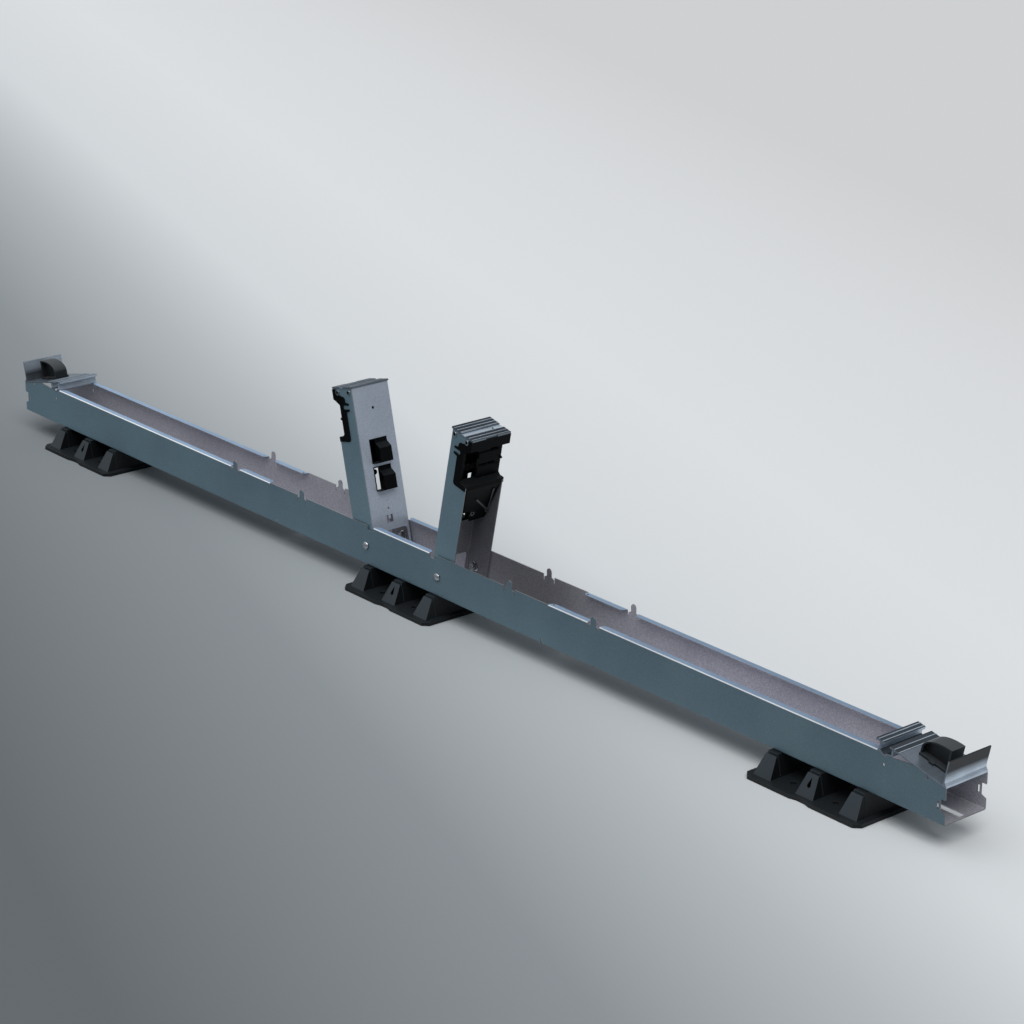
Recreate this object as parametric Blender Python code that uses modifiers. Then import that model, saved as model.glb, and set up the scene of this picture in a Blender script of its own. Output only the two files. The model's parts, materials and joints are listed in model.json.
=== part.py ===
# Solar ballast mount: a folded ballast tray on three feet, with two fold-down posts that carry
# the high edge of the panels and two edge brackets that carry the low edge.
# Metres, +Z up. X runs along the tray and Y across it. The origin is on the ground, under the middle.

import math

import bmesh
import bpy
from mathutils import Matrix

# Clearances and allowances that several pieces share
fitGap = 0.0003
pivotPlay = 0.0003
overrun = 0.003
weldDistance = 0.00001
flatAngle = math.radians(0.2)
smoothAngle = math.radians(30)
bendSteps = 4
roundSides = 20
holeSides = 16
smallSides = 12

# Tray, a folded sheet with its lips turned inward
trayLength = 2.4368
trayWidth = 0.085
traySheet = 0.0015
trayHeight = 0.071
trayBend = 0.0025
lipWidth = 0.011
lipChamfer = 0.005
centreLipLength = 0.1516
innerLipStart = 0.379
lipHoleRadius = 0.002
lipHoleInset = 0.007

# Tongues that stand up from the tray walls, and the slits beside them
innerTabX = 0.2835
outerTabX = 0.4872
tabGapHalf = 0.01375
tabSlit = 0.0023
slitDepth = 0.0106
tongueHalf = 0.0055
tongueRise = 0.0122
shoulderHalf = 0.00825
shoulderDrop = 0.002

# Openings in the tray
notchGap = 0.0027
notchWidth = 0.015
notchDepth = 0.0075
crossSlotX = 0.362
crossSlotWidth = 0.0036
crossSlotRise = 0.0088
floorSlotLength = 0.08
floorSlotWidth = 0.011
floorSlotInset = 0.0054
wallHoleRadius = 0.00235
endNotchDepth = 0.0089
endNotchHeight = 0.018
endNotchRise = 0.0205
endNotchSlope = 0.004
endSlitInset = 0.0139
endSlitWidth = 0.0035
endSlitHeight = 0.0113
endSlitRise = 0.0224

# Feet
footLength = 0.2306
footWidth = 0.1664
footPlate = 0.006
footCorner = 0.010
footHeight = 0.0394
footInset = 0.2388
ridgeSpacing = 0.086
ridgeFoot = 0.035
ridgeTop = 0.0205
ridgeWall = 0.0025
ridgeBatterFoot = 0.072
ridgeBatterTop = 0.054
ridgeNoseHeight = 0.0367
ridgeGroove = 0.002
ridgeGrooveDepth = 0.002
footHoleRadius = 0.0048
footHoleX = 0.0427
footHoleY = 0.0505
scallopOuter = 0.020
scallopInner = 0.009
scallopDepth = 0.0032
teardropWidth = 0.007
teardropHeight = 0.0145
teardropRise = 0.0178
teardropSweep = 240

# Tilt of the panels, which the posts and the edge brackets share
panelTilt = math.radians(12.8)

# Edge brackets, extruded across the tray
bracketWall = 0.0022
bracketInset = 0.0072
bracketDrop = 0.0107
bracketLip = 0.0075
uprightHeight = 0.039
uprightFillet = 0.009
uprightSweep = 64
plateReach = 0.084
headOverhang = 0.0176
bracketRib = 0.0012
bracketRibRise = 0.001
legInset = 0.0954
legDepth = 0.0134
toothDrop = 0.0205
toothReach = 0.0123
toothFlank = 0.0037
tWebInset = 0.1183
tHeadOut = 0.0097
tHeadIn = 0.0053
tHeadLip = 0.004

# Wedge blocks on the edge brackets
blockLength = 0.052
blockWidth = 0.027
blockRise = 0.0365
blockLow = 0.012
blockSetback = 0.017
blockAside = 0.0025
blockRim = 0.003
blockRecess = 0.009
blockFlange = 0.0022
blockFlangeHeight = 0.0032
blockTab = 0.0055
blockTabWidth = 0.009

# Posts, folded channels that pivot between the tray walls
pivotX = 0.0974
pivotRise = 0.034
postWidth = 0.078
postSheet = 0.0015
postBend = 0.0025
postBack = 0.021
postFront = 0.032
postTop = 0.2695
footRadius = 0.032
webHoleRadius = 0.0025
webHoleRise = 0.2307
smallHoleRadius = 0.002
smallHoleRise = 0.0569
hatchHalf = 0.0065
hatchLow = 0.0322
hatchHigh = 0.0454
hatchTongueHalf = 0.0025
hatchTongue = 0.007
cutoutRise = 0.0193
cutoutHalf = 0.033
cutoutCorner = 0.006

# Mouth in the open edge of each post, lined by the clip
mouthLow = 0.1845
mouthHigh = 0.243
mouthDeep = 0.0145
mouthFoot = 0.0215
mouthFlare = 0.0055
noseLow = 0.253
noseFront = 0.0305

# Heads, ribbed extruded caps
headBack = 0.022
headFront = 0.033
headWidth = 0.079
headPlate = 0.0025
headBandStart = 0.003
headBandEnd = 0.014
headBandSink = 0.0014
headRib = 0.0012
headRibRise = 0.0006
headHoleRadius = 0.002
headHoleAside = 0.021
headNotchHalf = 0.012
headNotchDepth = 0.0018

# Head screws
screwRadius = 0.0023
screwLength = 0.008
screwHeadRadius = 0.0048
screwHeadHeight = 0.0013
screwFront = 0.019
screwBack = 0.0124
screwDrop = 0.0065
portWall = 0.0018
portNeck = 0.0015

# Pivot bolts and nuts
boltRadius = 0.004
boltHeadRadius = 0.00725
boltHeadHeight = 0.0042
boltTail = 0.0012
nutHeight = 0.0065
nutHalfFlats = 0.0065
nutFlangeRadius = 0.0085
nutFlangeHeight = 0.0015

# Clips, black mouldings in the open side of the posts
clipSkin = 0.0022
clipBand = 0.0011
clipBandFoot = 0.1785
clipBandBack = 0.001
clipCorner = 0.005
clipBump = 0.0038
clipBumpHalf = 0.003
clipBumpRise = 0.218
hookRise = 0.238
hookX = 0.004
hookBore = 0.004
hookOuter = 0.0085
hookTip = 0.008
hookFinger = 0.0032
hookSweep = 240
ringSweep = 130
bandTop = 0.2564
bandShoulder = 0.004
clipWall = 0.0018
clipBack = 0.006
clipBackLow = 0.205
pocketLow = 0.192
pocketStart = 0.010
pocketEnd = 0.0355
stepRise = 0.0018
stepChamfer = 0.001
upperStepHeight = 0.011
upperStepRise = 0.236
lowerStepRise = 0.209
windowHeight = 0.0045
upperWindowStart = 0.016
upperWindowEnd = 0.031
lowerWindowEnd = 0.028
hoodHalf = 0.0183
hoodHeight = 0.0412
hoodCap = 0.008
hoodSlope = 0.0084
hoodReach = 0.0105
hoodClosed = 0.0066
upperHoodRise = 0.1372
lowerHoodRise = 0.0895
backplateHalf = 0.023
backplateMargin = 0.004
apronFoot = 0.100
apronFootDepth = 0.006
apronTopHalf = 0.036
apronStepRise = 0.124
apronStepAside = 0.020
apronHeel = 0.002
apronToe = 0.034
gussetFoot = 0.148
gussetTop = 0.180
ringRise = 0.1185
ringRadius = 0.0045
ringBore = 0.002
ringBack = 0.001
ringReach = 0.014
nearRingAside = 0.0005
farRingAside = 0.0315
strutHalf = 0.0015
strutRelief = 0.0018
nearStrutRise = 0.152
nearStrutAside = 0.005
farStrutRise = 0.169
farStrutAside = 0.024

# Places that follow from the sizes above
trayHalf = trayLength / 2
trayHalfWidth = trayWidth / 2
trayInside = trayHalfWidth - traySheet
trayBase = footHeight + fitGap
footSpacing = trayHalf - footInset
lipSeat = trayHeight - trayBend
postHalfWidth = postWidth / 2
postInside = postHalfWidth - postSheet
headBase = postTop + fitGap
screwRise = headBase - screwDrop
clipInside = postInside - fitGap
clipOutside = postHalfWidth + fitGap + clipBand
backplateFace = postSheet + fitGap - postBack

partCollection = None
cutterCollection = None


# Outlines

def arc(centre, radius, start, finish, steps):
    points = []
    for step in range(steps + 1):
        angle = math.radians(start + (finish - start) * step / steps)
        points.append((centre[0] + radius * math.cos(angle), centre[1] + radius * math.sin(angle)))
    return points


def circle(centre, radius, sides=roundSides):
    return arc(centre, radius, 0, 360, sides)[:-1]


def box(left, right, low, high):
    return [(left, low), (right, low), (right, high), (left, high)]


def rounded(corners, steps=bendSteps):
    # A corner is (x, y), or (x, y, radius) where it is filleted.
    outline = []
    for index, corner in enumerate(corners):
        if len(corner) == 2:
            outline.append(corner)
            continue
        x, y, radius = corner
        before = corners[index - 1]
        after = corners[(index + 1) % len(corners)]
        arriving = math.atan2(before[1] - y, before[0] - x)
        leaving = math.atan2(after[1] - y, after[0] - x)
        turn = (leaving - arriving + math.pi) % (2 * math.pi) - math.pi
        side = math.copysign(1, turn)
        reach = radius / math.sin(abs(turn) / 2)
        middle = arriving + turn / 2
        centre = (x + reach * math.cos(middle), y + reach * math.sin(middle))
        start = math.degrees(arriving - side * math.pi / 2)
        sweep = math.degrees(side * (abs(turn) - math.pi))
        outline += arc(centre, radius, start, start + sweep, steps)
    return outline


def parallel(line, distance):
    # The open line moved to its left by the distance, with mitred corners.
    normals = []
    for (x0, y0), (x1, y1) in zip(line, line[1:]):
        length = math.hypot(x1 - x0, y1 - y0)
        normals.append(((y0 - y1) / length, (x1 - x0) / length))
    moved = []
    for index, (x, y) in enumerate(line):
        first = normals[max(index - 1, 0)]
        second = normals[min(index, len(normals) - 1)]
        scale = distance / (1 + first[0] * second[0] + first[1] * second[1])
        moved.append((x + (first[0] + second[0]) * scale, y + (first[1] + second[1]) * scale))
    return moved


def mirrored(points):
    return [(-x, y) for x, y in reversed(points)]


def ribbed(start, finish, level, ribWidth, ribRise):
    # A top edge from start to finish with square ribs, one rib wide apart.
    count = max(int(round((finish - start) / ribWidth / 2)), 1)
    pitch = (finish - start) / (2 * count - 1)
    points = []
    for index in range(count):
        left = start + 2 * index * pitch
        points += [(left, level), (left, level + ribRise)]
        points += [(left + pitch, level + ribRise), (left + pitch, level)]
    return points


# Solids

def slab(loops, plane, low, high):
    # A flat outline, with holes as further loops, drawn in the named plane and as thick as low to high.
    curve = bpy.data.curves.new("outline", "CURVE")
    curve.dimensions = "2D"
    curve.fill_mode = "BOTH"
    curve.extrude = (high - low) / 2
    for loop in loops:
        spline = curve.splines.new("POLY")
        spline.points.add(len(loop) - 1)
        for point, (across, up) in zip(spline.points, loop):
            point.co = (across, up, 0, 1)
        spline.use_cyclic_u = True
    guide = bpy.data.objects.new("outline", curve)
    cutterCollection.objects.link(guide)
    evaluated = guide.evaluated_get(bpy.context.evaluated_depsgraph_get())
    mesh = bpy.data.meshes.new_from_object(evaluated)
    bpy.data.objects.remove(guide)
    bpy.data.curves.remove(curve)
    order = ["xyz".index(letter) for letter in plane]
    order.append(3 - sum(order))
    shape = bmesh.new()
    shape.from_mesh(mesh)
    bmesh.ops.remove_doubles(shape, verts=shape.verts, dist=weldDistance)
    for vertex in shape.verts:
        place = (vertex.co.x, vertex.co.y, high if vertex.co.z > 0 else low)
        for axis, value in zip(order, place):
            vertex.co[axis] = value
    faceOut(shape)
    shape.to_mesh(mesh)
    shape.free()
    return toolObject(mesh)


def faceOut(shape):
    # Turns the faces of each separate body in the mesh outward.
    bmesh.ops.recalc_face_normals(shape, faces=shape.faces)
    shape.normal_update()
    waiting = set(shape.faces)
    while waiting:
        body = [waiting.pop()]
        for face in body:
            for edge in face.edges:
                for neighbour in waiting.intersection(edge.link_faces):
                    waiting.remove(neighbour)
                    body.append(neighbour)
        if sum(face.normal.dot(face.verts[0].co) * face.calc_area() for face in body) < 0:
            bmesh.ops.reverse_faces(shape, faces=body)


def turned(profile, sides):
    # A profile of (radius, height) from top to bottom, turned about Z.
    mesh = bpy.data.meshes.new("profile")
    points = [(radius, 0, height) for radius, height in profile]
    edges = [(index, index + 1) for index in range(len(points) - 1)]
    mesh.from_pydata(points, edges, [])
    body = toolObject(mesh)
    screw = body.modifiers.new("turn", "SCREW")
    screw.steps = sides
    screw.render_steps = sides
    screw.use_merge_vertices = True
    screw.merge_threshold = weldDistance
    return baked(body)


def toolObject(mesh):
    body = bpy.data.objects.new("cutter", mesh)
    body.hide_render = True
    body.display_type = "WIRE"
    cutterCollection.objects.link(body)
    return body


def baked(body):
    evaluated = body.evaluated_get(bpy.context.evaluated_depsgraph_get())
    mesh = bpy.data.meshes.new_from_object(evaluated)
    body.modifiers.clear()
    body.data = mesh
    return body


def combined(body, tools, operation):
    for tool in tools:
        boolean = body.modifiers.new(operation.lower(), "BOOLEAN")
        boolean.operation = operation
        boolean.solver = "EXACT"
        boolean.object = tool
        baked(body)
    return body


def joined(body, *tools):
    return combined(body, tools, "UNION")


def cut(body, *tools):
    return combined(body, tools, "DIFFERENCE")


def common(body, *tools):
    return combined(body, tools, "INTERSECT")


def bothHalves(body):
    # Keeps what lies at +X and mirrors it.
    mirror = body.modifiers.new("mirror", "MIRROR")
    mirror.use_bisect_axis[0] = True
    mirror.merge_threshold = weldDistance
    return baked(body)


def material(name, colour, roughness, metallic):
    surface = bpy.data.materials.new(name)
    surface.use_nodes = True
    shader = surface.node_tree.nodes["Principled BSDF"]
    shader.inputs["Base Color"].default_value = (*colour, 1)
    shader.inputs["Roughness"].default_value = roughness
    shader.inputs["Metallic"].default_value = metallic
    return surface


def frame(name, location, turn):
    # An empty that carries pieces drawn upright: leaned by the panel tilt, then turned about Z.
    empty = bpy.data.objects.new(name, None)
    partCollection.objects.link(empty)
    lean = Matrix.Rotation(panelTilt, 4, "Y")
    empty.matrix_world = Matrix.Translation(location) @ Matrix.Rotation(turn, 4, "Z") @ lean
    return empty


def tidied(mesh):
    # Merges the flat facets that the cuts leave behind.
    shape = bmesh.new()
    shape.from_mesh(mesh)
    bmesh.ops.remove_doubles(shape, verts=shape.verts, dist=weldDistance)
    bmesh.ops.dissolve_limit(shape, angle_limit=flatAngle, verts=shape.verts, edges=shape.edges)
    shape.to_mesh(mesh)
    shape.free()


def place(name, shape, surface, location=(0, 0, 0), rotation=(0, 0, 0), parent=None):
    mesh = shape.data.copy()
    mesh.name = name
    tidied(mesh)
    mesh.materials.clear()
    mesh.materials.append(surface)
    mesh.shade_smooth()
    mesh.set_sharp_from_angle(angle=smoothAngle)
    body = bpy.data.objects.new(name, mesh)
    body.location = location
    body.rotation_euler = rotation
    body.parent = parent
    partCollection.objects.link(body)
    return body


# Edge bracket: one extruded section, drawn with X down the panel slope and Z away from it

def bracketUnderside():
    # From the outer side of the T web, over the tooth that drops into the tray wall, to the leg.
    toothX = tooth()[0]
    return [(-tWebInset - bracketWall / 2, -legDepth - toothFlank),
            (toothX - toothReach / 2, -legDepth - toothFlank - bracketWall / 2),
            (toothX, -toothDrop),
            (toothX + toothFlank, -legDepth - bracketWall),
            (-legInset + bracketWall / 2, -legDepth)]


def tooth():
    return (-legInset - toothReach + bracketRib / 2, -toothDrop)


def bracketShape():
    underside = bracketUnderside()
    floorTop = parallel(underside, bracketWall)
    legOuter = -legInset - bracketWall / 2
    legInner = -legInset + bracketWall / 2
    webOuter = -tWebInset - bracketWall / 2
    webInner = -tWebInset + bracketWall / 2
    tOuter = -tWebInset - tHeadOut
    tInner = -tWebInset + tHeadIn
    flare = bracketWall / 2
    corner = (bracketWall + uprightFillet, uprightFillet)
    fillet = arc(corner, uprightFillet, 180, 180 + uprightSweep, bendSteps + 1)
    ribTop = bracketRibRise
    ribHalf = bracketRib / 2
    section = [(bracketLip, -bracketWall), (bracketLip, fillet[-1][1])]
    section += list(reversed(fillet))
    section += [(bracketWall, uprightHeight), (0, uprightHeight), (0, 0)]
    for rib in (-plateReach, -plateReach - headOverhang / 2):
        section += [(rib + ribHalf, 0), (rib + ribHalf, ribTop), (rib - ribHalf, ribTop), (rib - ribHalf, 0)]
    section += [(-plateReach - headOverhang, 0), (-plateReach - headOverhang, -bracketWall)]
    section += [(legOuter, -bracketWall), (legOuter, floorTop[-1][1])]
    section += list(reversed(floorTop[1:-1]))
    section += [(webInner, -legDepth)]
    section += [(webInner, -bracketWall - flare), (webInner + flare, -bracketWall)]
    section += [(tInner - bracketWall, -bracketWall), (tInner - bracketWall, -tHeadLip)]
    section += [(tInner, -tHeadLip), (tInner, 0)]
    for rib in (tInner - tHeadIn / 2, tOuter + tHeadOut / 2):
        section += [(rib + ribHalf, 0), (rib + ribHalf, ribTop), (rib - ribHalf, ribTop), (rib - ribHalf, 0)]
    section += [(tOuter, 0), (tOuter, -tHeadLip), (tOuter + bracketWall, -tHeadLip)]
    section += [(tOuter + bracketWall, -bracketWall), (webOuter - 2 * flare, -bracketWall)]
    section += [(webOuter, -bracketWall - 2 * flare)]
    section += underside
    section += [(legInner, -bracketWall)]
    return slab([section], "xz", -trayHalfWidth, trayHalfWidth)


def bracketOrigin():
    return (trayHalf - bracketInset, trayHeight - bracketDrop)


def fromBracket(point):
    # A point of the bracket section, given in the tray's own X and Z.
    originX, originZ = bracketOrigin()
    along, off = point
    x = originX + along * math.cos(panelTilt) + off * math.sin(panelTilt)
    z = originZ - along * math.sin(panelTilt) + off * math.cos(panelTilt)
    return (x, z)


def blockShape():
    low = fitGap
    outer = -blockSetback
    inner = outer - blockLength
    radiusX = blockLength
    radiusZ = blockRise - blockLow
    steps = 3 * bendSteps
    crown = []
    for step in range(steps + 1):
        angle = math.radians(90 + 90 * step / steps)
        crown.append((outer + radiusX * math.cos(angle), low + blockLow + radiusZ * math.sin(angle)))
    outline = [(outer, low)] + crown + [(inner, low)]
    rim = blockRim
    shrinkX = (blockLength - 2 * rim) / blockLength
    shrinkZ = (blockRise - 2 * rim) / blockRise
    recess = [(outer - rim + (x - outer) * shrinkX, low + rim + (z - low) * shrinkZ) for x, z in outline]
    half = blockWidth / 2
    block = slab([outline], "xz", -half, half)
    block = cut(block, slab([recess], "xz", half - blockRecess, half + overrun),
                slab([recess], "xz", -half - overrun, blockRecess - half))
    flange = box(inner, outer, low, low + blockFlangeHeight)
    middle = (inner + outer) / 2
    tab = box(middle - blockTabWidth / 2, middle + blockTabWidth / 2, low, low + blockFlangeHeight)
    flangeHalf = half + blockFlange
    tabHalf = half + blockTab
    return joined(block, slab([flange], "xz", -flangeHalf, flangeHalf), slab([tab], "xz", -tabHalf, tabHalf))


# Tray

def tabOutline(centre, top):
    shoulder = lipSeat
    slitFoot = trayHeight - slitDepth
    inner = tabGapHalf - tabSlit
    crownBase = trayHeight + tongueRise - tongueHalf
    left = [(-tabGapHalf, top), (-tabGapHalf, slitFoot), (-inner, slitFoot),
            (-inner, shoulder - shoulderDrop), (-shoulderHalf, shoulder), (-tongueHalf, shoulder)]
    crown = arc((0, crownBase), tongueHalf, 180, 0, 2 * bendSteps)
    right = mirrored(left)
    return [(centre + x, z) for x, z in left + crown + right]


def wallOutline():
    # The side view of the half at +X, which the other half mirrors.
    centreLip = centreLipLength / 2
    notchStart = centreLip + notchGap
    notchEnd = notchStart + notchWidth
    notchFoot = trayHeight - notchDepth
    seat = [fromBracket(point) for point in parallel(bracketUnderside(), -fitGap)]
    plateUnder = -bracketWall - fitGap
    outerEnd = fromBracket((bracketLip, plateUnder))
    slope = math.tan(panelTilt)
    endTop = outerEnd[1] - (trayHalf - outerEnd[0]) * slope
    contact = fromBracket((-plateReach * 2 / 3, plateUnder))
    lipEnd = seat[0][0] - bracketWall
    half = [(centreLip, lipSeat), (notchStart, lipSeat), (notchStart, notchFoot), (notchEnd, notchFoot),
            (notchEnd, trayHeight)]
    half += tabOutline(innerTabX, trayHeight)
    half += [(innerLipStart, trayHeight), (innerLipStart, lipSeat)]
    half += tabOutline(outerTabX, lipSeat)
    half += [(lipEnd, lipSeat), (lipEnd, seat[0][1])]
    half += seat
    half += [contact, (trayHalf, endTop)]
    half += [(trayHalf, endNotchRise + endNotchHeight),
             (trayHalf - endNotchDepth, endNotchRise + endNotchHeight),
             (trayHalf - endNotchDepth, endNotchRise), (trayHalf, endNotchRise - endNotchSlope),
             (trayHalf, -overrun)]
    return [(-overrun, lipSeat)] + half + [(-overrun, -overrun)], lipEnd


def lipSpans(lipEnd):
    centreLip = centreLipLength / 2
    return [(-centreLip, centreLip), (innerLipStart, outerTabX - tabGapHalf),
            (outerTabX + tabGapHalf, lipEnd)]


def trayShape():
    outer = trayHalfWidth
    high = trayHeight + tongueRise + overrun
    innerBend = trayBend - traySheet
    channel = rounded([(-outer, high), (-outer, 0, trayBend), (outer, 0, trayBend), (outer, high),
                       (trayInside, high), (trayInside, traySheet, innerBend),
                       (-trayInside, traySheet, innerBend), (-trayInside, high)])
    outline, lipEnd = wallOutline()
    toothX, toothZ = fromBracket(tooth())
    plateX, plateZ = fromBracket((-plateReach / 3, 0))
    slitLeft = trayHalf - endSlitInset - endSlitWidth / 2
    holes = [circle((pivotX, pivotRise), boltRadius + pivotPlay),
             circle((toothX, toothZ - notchDepth - 2 * wallHoleRadius), wallHoleRadius, smallSides),
             circle((plateX, plateZ - 2 * wallHoleRadius), wallHoleRadius, smallSides),
             box(slitLeft, slitLeft + endSlitWidth, endSlitRise, endSlitRise + endSlitHeight)]
    tray = common(slab([channel], "yz", -2 * overrun, trayHalf + overrun),
                  slab([outline], "xz", -outer - overrun, outer + overrun))
    tray = cut(tray, slab(holes, "xz", -outer - overrun, outer + overrun))
    legFoot = lipSeat - traySheet
    lipInner = outer - lipWidth
    lipSection = rounded([(outer, legFoot), (outer, trayHeight, trayBend), (lipInner - overrun, trayHeight),
                          (lipInner - overrun, trayHeight - traySheet),
                          (trayInside, trayHeight - traySheet, innerBend), (trayInside, legFoot)])
    plan = []
    for start, finish in lipSpans(lipEnd):
        lip = [(start, outer + overrun), (start, lipInner + lipChamfer), (start + lipChamfer, lipInner),
               (finish - lipChamfer, lipInner), (finish, lipInner + lipChamfer), (finish, outer + overrun)]
        plan.append(lip)
        plan.append([(x, -y) for x, y in lip])
    lips = common(slab([lipSection, mirrored(lipSection)], "yz", -trayHalf, trayHalf),
                  slab(plan, "xy", legFoot - overrun, trayHeight + overrun))
    slotEnd = trayHalf - floorSlotInset
    floorSlot = box(slotEnd - floorSlotLength, slotEnd, -floorSlotWidth / 2, floorSlotWidth / 2)
    crossSlot = box(crossSlotX - crossSlotWidth / 2, crossSlotX + crossSlotWidth / 2, -overrun, crossSlotRise)
    lipHoleX = innerLipStart + lipHoleInset
    lipHoleY = outer - lipWidth * 2 / 3
    lipHoles = [circle((lipHoleX, aside), lipHoleRadius, smallSides) for aside in (lipHoleY, -lipHoleY)]
    tray = cut(joined(tray, lips), slab([floorSlot], "xy", -overrun, traySheet + overrun),
               slab([crossSlot], "xz", -outer - overrun, outer + overrun),
               slab(lipHoles, "xy", lipSeat - overrun, trayHeight + overrun))
    return bothHalves(tray)


# Foot

def ridgeBody(centre, inset, low):
    # A battered, tapered ridge; an inset makes the hollow that leaves an even wall.
    rise = footHeight - inset
    lean = (ridgeFoot - ridgeTop) / 2 / (footHeight - footPlate)
    footHalf = ridgeFoot / 2 - inset + lean * (footPlate - low)
    topHalf = ridgeTop / 2 - inset + lean * inset
    section = [(centre - footHalf, low), (centre + footHalf, low),
               (centre + topHalf, rise), (centre - topHalf, rise)]
    batter = (ridgeBatterFoot - ridgeBatterTop) / (ridgeNoseHeight - footPlate)
    grooveOuter = ridgeBatterTop - ridgeGroove
    noseTop = ridgeNoseHeight - inset
    noseHalf = ridgeBatterTop - inset + batter * inset
    footReach = ridgeBatterFoot - inset + batter * (footPlate - low)
    if inset:
        side = [(footReach, low), (noseHalf, noseTop), (grooveOuter - ridgeGroove - inset, noseTop),
                (grooveOuter - ridgeGroove - inset, rise)]
    else:
        grooveFloor = noseTop - ridgeGrooveDepth
        side = [(footReach, low), (noseHalf, noseTop), (grooveOuter, noseTop), (grooveOuter, grooveFloor),
                (grooveOuter - ridgeGroove, grooveFloor), (grooveOuter - ridgeGroove, rise)]
    ridge = slab([section], "xz", -footReach - overrun, footReach + overrun)
    reach = footHalf + overrun
    return common(ridge, slab([side + mirrored(side)], "yz", centre - reach, centre + reach))


def flankGrooves(centre):
    # Upright grooves in both flanks of a ridge, in line with the groove across its top.
    lean = (ridgeFoot - ridgeTop) / 2 / (footHeight - footPlate)
    low = footPlate * 3 / 2
    footHalf = ridgeFoot / 2 - lean * (low - footPlate)
    topHalf = ridgeTop / 2 - overrun * lean
    depth = ridgeWall / 2
    rise = footHeight + overrun
    loops = []
    for side in (-1, 1):
        loops.append([(centre + side * (footHalf - depth), low),
                      (centre + side * (footHalf + overrun), low),
                      (centre + side * (topHalf + overrun), rise),
                      (centre + side * (topHalf - depth), rise)])
    outer = ridgeBatterTop - ridgeGroove
    return [slab(loops, "xz", outer - ridgeGroove, outer), slab(loops, "xz", -outer, ridgeGroove - outer)]


def footShape():
    halfX = footLength / 2
    halfY = footWidth / 2
    quarter = [(halfX, halfY - footCorner), (halfX - footCorner, halfY), (scallopOuter, halfY),
               (scallopInner, halfY - scallopDepth)]
    upper = quarter + mirrored(quarter)
    plate = upper + [(-x, -y) for x, y in upper]
    holes = []
    for sideX in (-1, 1):
        for sideY in (-1, 1):
            holes.append(circle((sideX * footHoleX, sideY * footHoleY), footHoleRadius, holeSides))
    foot = slab([plate] + holes, "xy", 0, footPlate)
    for centre in (-ridgeSpacing, 0, ridgeSpacing):
        foot = joined(foot, ridgeBody(centre, 0, footPlate / 2))
        foot = cut(foot, ridgeBody(centre, ridgeWall, -overrun), *flankGrooves(centre))
    low = teardropRise
    half = teardropWidth / 2
    drop = arc((0, low + half), half, 270 - teardropSweep / 2, 270 + teardropSweep / 2, 2 * bendSteps)
    drop.append((0, low + teardropHeight))
    return cut(foot, slab([drop], "xz", -ridgeBatterFoot - overrun, ridgeBatterFoot + overrun))


# Post: drawn upright about its pivot, with X outward, Y along the pivot and Z up the channel

def mouthLine():
    return [(postFront, mouthLow), (mouthFoot, mouthLow), (mouthDeep, mouthLow + mouthFlare),
            (mouthDeep, mouthHigh), (noseFront - clipSkin * 2, noseLow - clipSkin), (noseFront, noseLow),
            (noseFront, postTop)]


def postShape():
    bend = postBend
    half = postHalfWidth
    front = postFront + overrun
    channel = rounded([(front, half), (-postBack, half, bend), (-postBack, -half, bend), (front, -half),
                       (front, -postInside), (postSheet - postBack, -postInside, bend - postSheet),
                       (postSheet - postBack, postInside, bend - postSheet), (front, postInside)])
    back = postBack + overrun
    side = arc((0, 0), footRadius, 180, 360, 6 * bendSteps) + mouthLine() + [(-footRadius, postTop)]
    holes = [circle((0, 0), boltRadius + pivotPlay)]
    holes += [circle((x, screwRise), screwRadius + fitGap, holeSides) for x in (screwFront, -screwBack)]
    post = common(slab([channel], "xy", -footRadius - overrun, postTop + overrun),
                  slab([side] + holes, "xz", -half - overrun, half + overrun))
    tongueFoot = hatchHigh - hatchTongue
    hatch = [(-hatchHalf, hatchLow), (hatchHalf, hatchLow), (hatchHalf, hatchHigh),
             (hatchTongueHalf, hatchHigh), (hatchTongueHalf, tongueFoot), (-hatchTongueHalf, tongueFoot),
             (-hatchTongueHalf, hatchHigh), (-hatchHalf, hatchHigh)]
    loops = [circle((0, webHoleRise), webHoleRadius, holeSides),
             circle((0, smallHoleRise), smallHoleRadius, smallSides), hatch]
    for rise in (upperHoodRise, lowerHoodRise):
        loops.append(box(-hoodHalf - fitGap, hoodHalf + fitGap, rise - fitGap, rise + hoodHeight + fitGap))
    loops.append(rounded([(-cutoutHalf, -footRadius - overrun), (cutoutHalf, -footRadius - overrun),
                          (cutoutHalf, cutoutRise, cutoutCorner), (-cutoutHalf, cutoutRise, cutoutCorner)]))
    return cut(post, slab(loops, "yz", -back, postSheet - postBack + overrun / 2))


def headShape():
    low = headBase
    level = low + headPlate
    band = level - headBandSink
    top = ribbed(-headBack, headBandStart, level, headRib, headRibRise)
    top += [(headBandStart, band), (headBandEnd, band)]
    top += ribbed(headBandEnd, headFront, level, headRib, headRibRise)
    cap = slab([[(-headBack, low)] + top + [(headFront, low)]], "xz", -headWidth / 2, headWidth / 2)
    ports = []
    outer = screwRadius + fitGap + portWall
    lean = math.degrees(math.asin(portNeck / outer))
    for centre in (screwFront, -screwBack):
        neckTop = low + headPlate / 3
        port = arc((centre, screwRise), outer, 90 + lean, 450 - lean, roundSides - 4)
        ports.append(port + [(centre + portNeck, neckTop), (centre - portNeck, neckTop)])
        ports.append(circle((centre, screwRise), screwRadius + fitGap, holeSides))
    cap = joined(cap, slab(ports, "xz", -clipInside, clipInside))
    notch = box(headFront - headNotchDepth, headFront + overrun, -headNotchHalf, headNotchHalf)
    hole = circle(((headBandStart + headBandEnd) / 2, headHoleAside), headHoleRadius, smallSides)
    return cut(cap, slab([notch, hole], "xy", low - overrun, level + overrun))


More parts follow.
